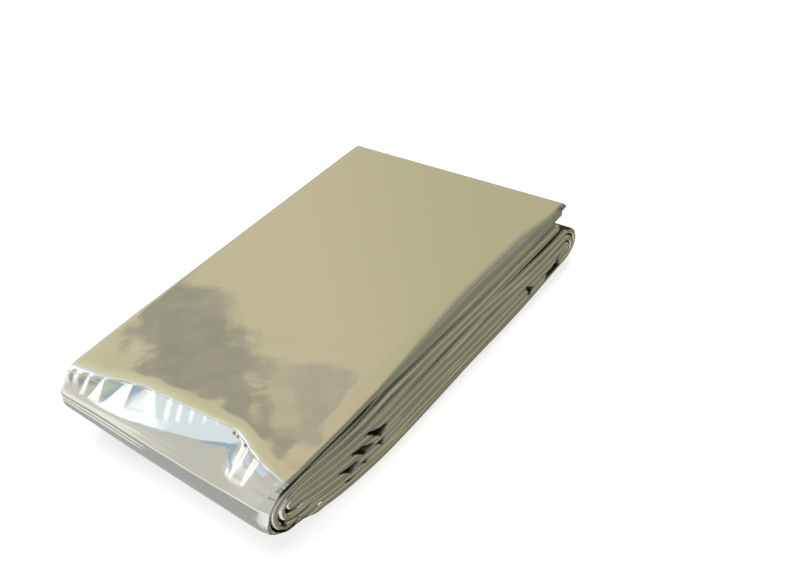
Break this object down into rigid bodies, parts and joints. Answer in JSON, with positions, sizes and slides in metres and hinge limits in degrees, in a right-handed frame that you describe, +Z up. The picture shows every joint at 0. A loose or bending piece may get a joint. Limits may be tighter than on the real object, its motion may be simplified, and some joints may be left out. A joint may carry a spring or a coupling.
{
  "type": "folded emergency foil blanket",
  "caption": "Emergency foil blanket of thin metallised film, pleated into a strip and folded into a flat, springy packet with a rounded front fold.",
  "frame": {"origin": "on the surface the packet lies on, under the middle of its box", "axes": "+Y along the packet from the front fold to the far end, +X across it to the right, +Z up through the layers"},
  "size_m": [0.082, 0.1296, 0.0205],
  "materials": {
    "metallised_film": "mirror-bright silver film with a warm tint, slightly rippled"
  },
  "bodies": {
    "root": {"foil_blanket": "metallised_film"}
  },
  "joints": []
}
